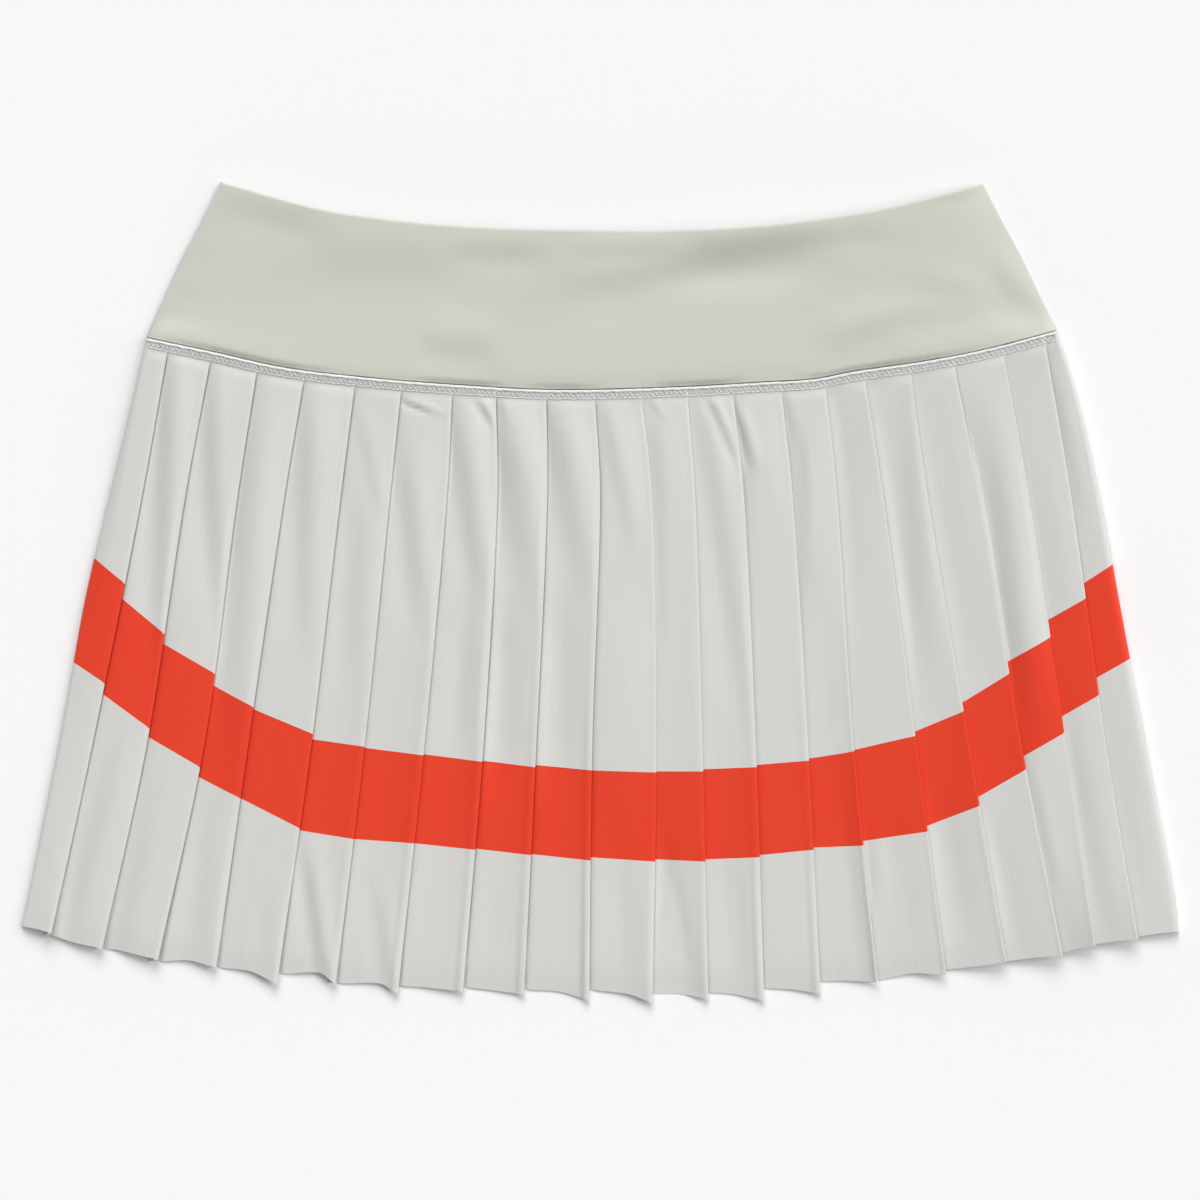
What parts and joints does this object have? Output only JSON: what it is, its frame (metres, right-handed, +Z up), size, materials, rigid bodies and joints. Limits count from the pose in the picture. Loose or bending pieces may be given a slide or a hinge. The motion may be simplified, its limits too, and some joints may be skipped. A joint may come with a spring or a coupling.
{
  "type": "tennis skirt",
  "caption": "Short tennis skirt laid flat: smooth contoured knit waistband over knife pleats, with a curved contrast stripe above the hem.",
  "frame": {"origin": "on the surface that the skirt lies on, under the centre of its outline", "axes": "+X from hip to hip, to the right as the front is seen from above; +Y from the hem to the waist; +Z up from the surface, out of the front"},
  "size_m": [0.54, 0.3822, 0.0087],
  "materials": {
    "skirt_cloth": "smooth matt woven crepe, off-white, with a plain orange-red stripe",
    "waistband_knit": "smooth fine sage-grey stretch knit with a faint sheen",
    "seam_thread": "soft off-white textured sewing thread"
  },
  "bodies": {
    "root": {"skirt_front": "skirt_cloth", "skirt_back": "skirt_cloth", "waistband_front": "waistband_knit", "waistband_back": "waistband_knit"}
  },
  "joints": []
}
